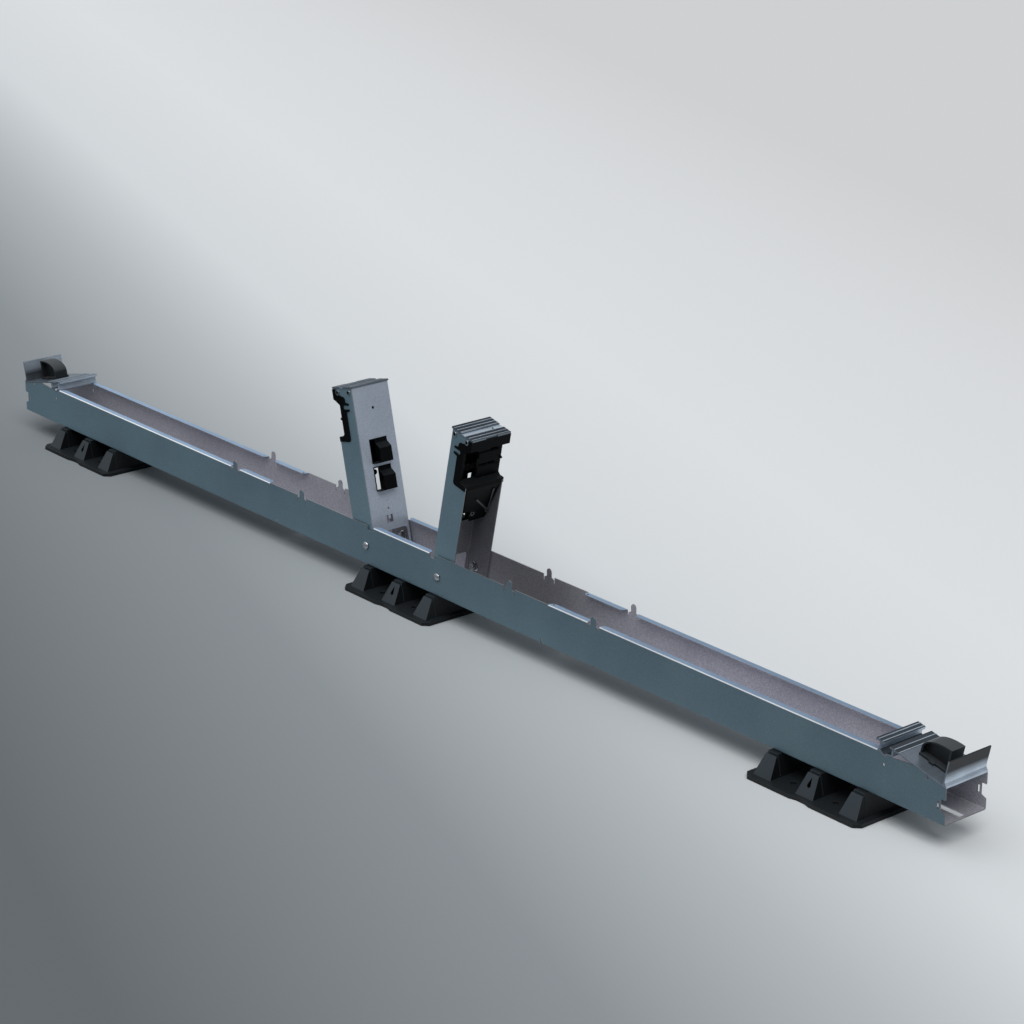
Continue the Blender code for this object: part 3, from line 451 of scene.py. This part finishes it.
# Leaned pieces: places are measured from their own corner, out from the middle and up their lean

leaned = {
    "tilt": math.radians(12.8),
    "pivot": (0.0974, 0.0737),  # the corner of a post and what it carries
    "corner": (1.2112, 0.1000),  # the corner of an edge bracket, where its upright stands
    "facing": 0.85,
}


def leanedAxes(side, origin):
    tilt = leaned["tilt"]
    out = Vector((side * math.cos(tilt), 0, -math.sin(tilt)))
    up = Vector((side * math.sin(tilt), 0, math.cos(tilt)))
    return Vector((side * origin[0], 0, origin[1])), out, up


headFaces = {
    "crest": 0.2727,
    "groove": 0.2720,
    "ribPitch": 0.0024,
    "highlightEvery": 3,
}


def headFace(side):
    # 0 the body, 1 a painted highlight on every third rib crest and on the smooth band, 2 painted
    # shade on the rest of the ribbed top.
    origin, out, up = leanedAxes(side, leaned["pivot"])

    def choose(centre, normal):
        if normal.dot(up) < leaned["facing"]:
            return 0
        reach = (centre - origin).dot(out)
        level = (centre - origin).dot(up)
        if level < headFaces["groove"]:
            return 1
        onHighlight = int(abs(reach) / headFaces["ribPitch"]) % headFaces["highlightEvery"] == 0
        return 1 if level > headFaces["crest"] and onHighlight else 2
    return choose


bracketFaces = {
    "crest": 0.0007,
    "rail": -0.08,  # the T rail and the ribbed band lie farther in than this
    "railTurn": 0.3,
    "endTurn": 0.5,
    "uprightSkin": 0.0001,
    "uprightTurn": 0.8,
}


def bracketFace(side):
    # 0 the body, 1 a painted highlight on rib crests and the rail's web, 2 painted shade in
    # grooves, 3 the upright outside, 4 inside, both with painted shade.
    origin, out, up = leanedAxes(side, leaned["corner"])
    rule = bracketFaces

    def choose(centre, normal):
        reach = (centre - origin).dot(out)
        level = (centre - origin).dot(up)
        outward = normal.dot(out)
        if abs(normal.y) > rule["endTurn"]:
            return 0
        if reach > rule["uprightSkin"]:
            return 3
        if normal.dot(up) > leaned["facing"]:
            if level > rule["crest"]:
                return 1
            return 2 if reach < rule["rail"] else 0
        if abs(outward) > rule["railTurn"] and reach < rule["rail"]:
            return 1
        return 4 if outward < -rule["uprightTurn"] and level > 0 else 0
    return choose


clipFaces = {
    "front": 0.030,
    "apronTop": (0.0309, 0.1796),
    "apronFoot": (0.0060, 0.1000),
    "relief": (0.0025, 0.0036),  # how far the struts' crests stand off the line from top to foot
    "struts": (0.118, 0.172),
    "rings": (0.112, 0.125),
    "ringRelief": 0.0013,
}


def clipFace(side):
    # 0 the moulding, 1 the crests of the apron's struts and rings, given a painted highlight.
    origin, out, up = leanedAxes(side, leaned["pivot"])
    topOut, topUp = clipFaces["apronTop"]
    footOut, footUp = clipFaces["apronFoot"]
    away = Vector((topUp - footUp, footOut - topOut)).normalized()

    def within(band, amount):
        low, high = clipFaces[band]
        return low < amount < high

    def choose(centre, normal):
        reach = (centre - origin).dot(out)
        level = (centre - origin).dot(up)
        if normal.dot(out) < leaned["facing"] or not 0 < reach < clipFaces["front"]:
            return 0
        relief = Vector((reach - topOut, level - topUp)).dot(away)
        onStrut = within("relief", relief) and within("struts", level)
        onRing = within("rings", level) and relief > clipFaces["ringRelief"]
        return 1 if onStrut or onRing else 0
    return choose


footFaces = {"plateTop": 0.009, "noseTurn": 0.7}


def footFace(centre, normal):
    # 0 the moulding, 1 the sloping noses of the ridges, with a painted reflection.
    return 1 if centre.z > footFaces["plateTop"] and abs(normal.y) > footFaces["noseTurn"] else 0


def finishSheet(node, surfaces, choose):
    finishNode(node, surfaces, softEdges["sheet"], choose)


def finishExtrusion(node, choose):
    finishNode(node, extrusionCoats, softEdges["extruded"], choose)


def finishMoulding(node, surfaces, choose=None):
    finishNode(node, surfaces, softEdges["moulded"], choose, rim=1)


finishSheet("ballast_tray", trayCoats, trayFace)
for side, sign in (("left", -1), ("right", 1)):
    finishSheet("post_" + side, postCoats, postFace)
    finishExtrusion("head_" + side, headFace(sign))
    finishExtrusion("edge_bracket_" + side, bracketFace(sign))
    finishMoulding("edge_block_" + side, blockCoats)
    finishMoulding("clip_" + side, clipCoats, clipFace(sign))
for place in ("left", "centre", "right"):
    finishMoulding("foot_" + place, footCoats, footFace)
print("frame pieces finished")


# Fasteners: each is a stack of rings about its own axis

def hexRadius(halfFlats, angle):
    wedge = (angle + math.pi / 6) % (math.pi / 3) - math.pi / 6
    return halfFlats / math.cos(wedge)


def starRadius(radius, depth, angle):
    return radius * (1 - depth + depth * math.cos(6 * angle))


sharpAngle = math.radians(38)  # a fastener's edges sharper than this keep a hard line


def ringStack(name, rings, sides, matrix):
    # Each ring is (radius, height); either may be a function of the angle. The ends are closed.
    mesh = bmesh.new()
    rows = []
    for radius, height in rings:
        row = []
        for step in range(sides):
            angle = 2 * math.pi * step / sides
            reach = radius(angle) if callable(radius) else radius
            rise = height(angle) if callable(height) else height
            row.append(mesh.verts.new((reach * math.cos(angle), reach * math.sin(angle), rise)))
        rows.append(row)
    for below, above in zip(rows, rows[1:]):
        for step in range(sides):
            after = (step + 1) % sides
            mesh.faces.new((below[step], below[after], above[after], above[step]))
    mesh.faces.new(list(reversed(rows[0])))
    mesh.faces.new(rows[-1])
    bmesh.ops.recalc_face_normals(mesh, faces=mesh.faces)
    mesh.transform(matrix)
    data = bpy.data.meshes.new(name)
    mesh.to_mesh(data)
    mesh.free()
    data.shade_smooth()
    data.set_sharp_from_angle(angle=sharpAngle)
    piece = bpy.data.objects.new(name, data)
    bpy.context.scene.collection.objects.link(piece)
    return piece


def outwardMatrix(node, depth):
    # From a fastener's own axes to the tray's: Z goes out through the side wall, 0 is at its seat.
    low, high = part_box(node)
    facing = math.copysign(1, low.y + high.y)
    seat = (high.y - depth) if facing > 0 else (low.y + depth)
    spot = Vector(((low.x + high.x) / 2, seat, (low.z + high.z) / 2))
    return Matrix.Translation(spot) @ Matrix.Rotation(-facing * math.pi / 2, 4, "X")


def fitFastener(piece, node, body, coat):
    piece.data.materials.append(coat)
    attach(piece, body)
    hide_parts(node)


headScrew = {
    "radius": 0.0048,
    "height": 0.0013,
    "shank": 0.0023,
    "length": 0.0080,
    "tip": (0.6, 0.0006),  # the tip's share of the shank's radius, and the length of its taper
    "seatEdge": (0.0001, 0.00012),  # in from the rim, and up from the seat
    "edge": 0.00045,
    "edgeReach": 1.3,  # by the edge, as is its middle
    "edgeMiddle": (0.35, 0.5),
    "crown": 0.00005,
    "recess": 0.0030,
    "recessLobe": 0.12,
    "recessBrim": 1.18,  # by the recess, as is its taper
    "recessEdge": 0.00008,
    "recessTaper": 0.86,
    "recessDepth": 0.0011,
    "sides": 48,
}


def makeHeadScrew(node, body):
    size = headScrew
    radius, top, shank, edge = size["radius"], size["height"], size["shank"], size["edge"]
    tipShare, taper = size["tip"]
    seatIn, seatUp = size["seatEdge"]
    middleIn, middleDown = size["edgeMiddle"]

    def star(angle):
        return starRadius(size["recess"], size["recessLobe"], angle)

    def starFloor(angle):
        return size["recessTaper"] * star(angle)

    rings = [(tipShare * shank, -size["length"]), (shank, taper - size["length"]), (shank, 0),
             (radius - seatIn, 0), (radius, seatUp),
             (radius, top - edge * size["edgeReach"]),
             (radius - edge * middleIn, top - edge * middleDown),
             (radius - edge * size["edgeReach"], top - size["crown"]),
             (size["recess"] * size["recessBrim"], top), (star, top - size["recessEdge"]),
             (starFloor, top - size["recessDepth"])]
    piece = ringStack(node + "_full", rings, size["sides"], outwardMatrix(node, top))
    fitFastener(piece, node, body, screwZinc)
    piece.data.materials.append(recessShadeZinc)
    # The faces are the stack's sides row by row, then the cap at the tip and the recess's floor;
    # the recess's walls and floor take the painted shade.
    faces = list(piece.data.polygons)
    for face in faces[-size["sides"] - 2:-2] + faces[-1:]:
        face.material_index = 1


pivotBolt = {
    "radius": 0.00725,
    "height": 0.0042,
    "rim": 0.00105,
    "seatEdge": 0.0001,
    "pole": 0.0001,
    "shank": 0.0040,
    "chamfer": 0.0005,
    "rows": 12,
    "sides": 48,
}


def makePivotBolt(node, body):
    size = pivotBolt
    radius, seatEdge = size["radius"], size["seatEdge"]
    shank, chamfer = size["shank"], size["chamfer"]
    low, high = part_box(node)
    length = (high.y - low.y) - size["height"]
    rings = [(shank - chamfer, -length), (shank, chamfer - length), (shank, 0),
             (radius - seatEdge, 0), (radius, seatEdge)]
    for row in range(size["rows"]):
        angle = math.pi / 2 * row / size["rows"]
        rise = (size["height"] - size["rim"]) * math.sin(angle)
        rings.append((radius * math.cos(angle), size["rim"] + rise))
    rings.append((size["pole"], size["height"]))
    piece = ringStack(node + "_full", rings, size["sides"], outwardMatrix(node, size["height"]))
    fitFastener(piece, node, body, boltZinc)


flangeNut = {
    "halfFlats": 0.0065,
    "height": 0.0065,
    "flange": 0.0085,
    "flangeHeight": 0.0015,
    "flangeEdge": 0.0002,
    "flangeSide": 0.0007,
    "fillet": (0.0006, 0.0005),  # out from the hexagon, and up from the flange
    "bore": 0.00425,
    "seatChamfer": (0.0004, 0.0001),  # out from the bore, and up from the seat
    "topChamfer": 0.0005,
    "chamferRadius": 0.0066,
    "chamferSlope": 0.58,
    "sides": 48,
}


def makeFlangeNut(node, body):
    size = flangeNut
    height, bore, flange = size["height"], size["bore"], size["flange"]
    flangeEdge, flangeHeight = size["flangeEdge"], size["flangeHeight"]
    filletOut, filletUp = size["fillet"]
    chamferOut, chamferUp = size["seatChamfer"]

    def hexagon(angle):
        return hexRadius(size["halfFlats"], angle)

    def filleted(angle):
        return hexagon(angle) + filletOut

    def corner(angle):
        return -height + size["chamferSlope"] * max(hexagon(angle) - size["chamferRadius"], 0)

    def top(angle):
        return min(hexagon(angle), size["chamferRadius"])

    rings = [(bore, -chamferUp), (bore + chamferOut, 0), (flange - flangeEdge, 0),
             (flange, -flangeEdge), (flange, -size["flangeSide"]), (filleted, -flangeHeight),
             (hexagon, -flangeHeight - filletUp), (hexagon, corner), (top, -height),
             (bore + size["topChamfer"], -height), (bore, size["topChamfer"] - height)]
    piece = ringStack(node + "_full", rings, size["sides"], outwardMatrix(node, 0))
    fitFastener(piece, node, body, boltZinc)


for side in ("left", "right"):
    for spot in ("outer_a", "outer_b", "inner_a", "inner_b"):
        makeHeadScrew("screw_" + side + "_" + spot, side + "_post")
    for edge in ("near", "far"):
        makePivotBolt("pivot_bolt_" + side + "_" + edge, "base")
        makeFlangeNut("pivot_nut_" + side + "_" + edge, "base")
print("fasteners made")


# Studio: a pale floor with a painted shade grade across it, dark at the front and pale behind, soft
# lamps and the photograph's camera

studio = {
    "floorSize": 60.0,
    "floorDrop": 0.0002,
    "floorRoughness": 0.9,
    "floorGloss": 0.1,
    "gradeTurn": math.radians(-72),
    "gradeStart": -1.0,
    "gradeLength": 4.0,
    # painted shade: the floor's colour darkens toward the front
    "grades": [(0.04, (0.125, 0.140, 0.148)), (0.18, (0.255, 0.275, 0.290)),
               (0.26, (0.440, 0.465, 0.480)), (0.33, (0.655, 0.675, 0.690)),
               (0.45, (0.720, 0.730, 0.740)), (0.62, (0.690, 0.695, 0.700)),
               (0.80, (0.625, 0.625, 0.625))],
    "skyLean": (-0.28, -0.21, 1.0),
    "sky": [(0.0, (0.16, 0.18, 0.20)), (0.35, (0.62, 0.66, 0.70)), (1.0, (1.0, 1.0, 1.0))],
    "skyStrength": 0.62,
}


def layFloor():
    under = (0, 0, -studio["floorDrop"])
    bpy.ops.mesh.primitive_plane_add(size=studio["floorSize"], location=under)
    floor = bpy.context.active_object
    floor.name = "studioFloor"
    surface, tree, shader = newSurface("floorWithPaintedShade")
    sockets = {"Vector": addNode(tree, "TexCoord").outputs["Object"], "Angle": studio["gradeTurn"]}
    turned = addNode(tree, "VectorRotate", sockets, rotation_type="Z_AXIS")
    along = addNode(tree, "SeparateXYZ", {"Vector": turned.outputs["Vector"]}).outputs["X"]
    gradeEnd = studio["gradeStart"] + studio["gradeLength"]
    grade = fade(tree, shareOf(tree, along, studio["gradeStart"], gradeEnd), studio["grades"])
    tree.links.new(grade, shader.inputs["Base Color"])
    shader.inputs["Roughness"].default_value = studio["floorRoughness"]
    shader.inputs["Specular IOR Level"].default_value = studio["floorGloss"]
    floor.data.materials.append(surface)


def lightWorld():
    # Bright overhead and to the front left, darker toward the other horizon, as between soft boxes.
    world = bpy.data.worlds.new("studioWorld")
    world.use_nodes = True
    tree = world.node_tree
    sockets = {0: addNode(tree, "TexCoord").outputs["Generated"], 1: studio["skyLean"]}
    height = addNode(tree, "VectorMath", sockets, operation="DOT_PRODUCT")
    background = tree.nodes["Background"]
    tree.links.new(fade(tree, height.outputs["Value"], studio["sky"]), background.inputs["Color"])
    background.inputs["Strength"].default_value = studio["skyStrength"]
    bpy.context.scene.world = world


lamps = {
    "keyLamp": {"from": (0.9, -0.45, 1.6), "spread": math.radians(38), "power": 1.30,
                "colour": (1.0, 0.99, 0.98)},
    "fillLamp": {"from": (-0.3, -0.5, 1.8), "spread": math.radians(60), "power": 0.60,
                 "colour": (0.88, 0.95, 1.0)},
}


def hangLamps():
    for name, lamp in lamps.items():
        light = bpy.data.lights.new(name, "SUN")
        light.angle = lamp["spread"]
        light.energy = lamp["power"]
        light.color = lamp["colour"]
        holder = bpy.data.objects.new(name, light)
        holder.rotation_euler = (-Vector(lamp["from"])).to_track_quat("-Z", "Y").to_euler()
        bpy.context.scene.collection.objects.link(holder)


camera = {
    "place": (3.5791, -2.7646, 1.7788),
    "turn": 0.8793,  # radians, as are the next two
    "pitch": 0.3457,
    "roll": -0.0012,
    "lens": 100.94,
    "sensor": 36.0,
    "reach": (0.05, 200),
}


def aimCamera():
    lens = bpy.data.cameras.new("photoCamera")
    lens.lens = camera["lens"]
    lens.sensor_width = camera["sensor"]
    lens.clip_start, lens.clip_end = camera["reach"]
    holder = bpy.data.objects.new("photoCamera", lens)
    holder.matrix_world = (Matrix.Translation(camera["place"])
                           @ Matrix.Rotation(camera["turn"], 4, "Z")
                           @ Matrix.Rotation(math.pi / 2 - camera["pitch"], 4, "X")
                           @ Matrix.Rotation(camera["roll"], 4, "Z"))
    bpy.context.scene.collection.objects.link(holder)
    bpy.context.scene.camera = holder


layFloor()
lightWorld()
hangLamps()
aimCamera()
bpy.context.scene.view_settings.view_transform = "Standard"
print("studio ready")
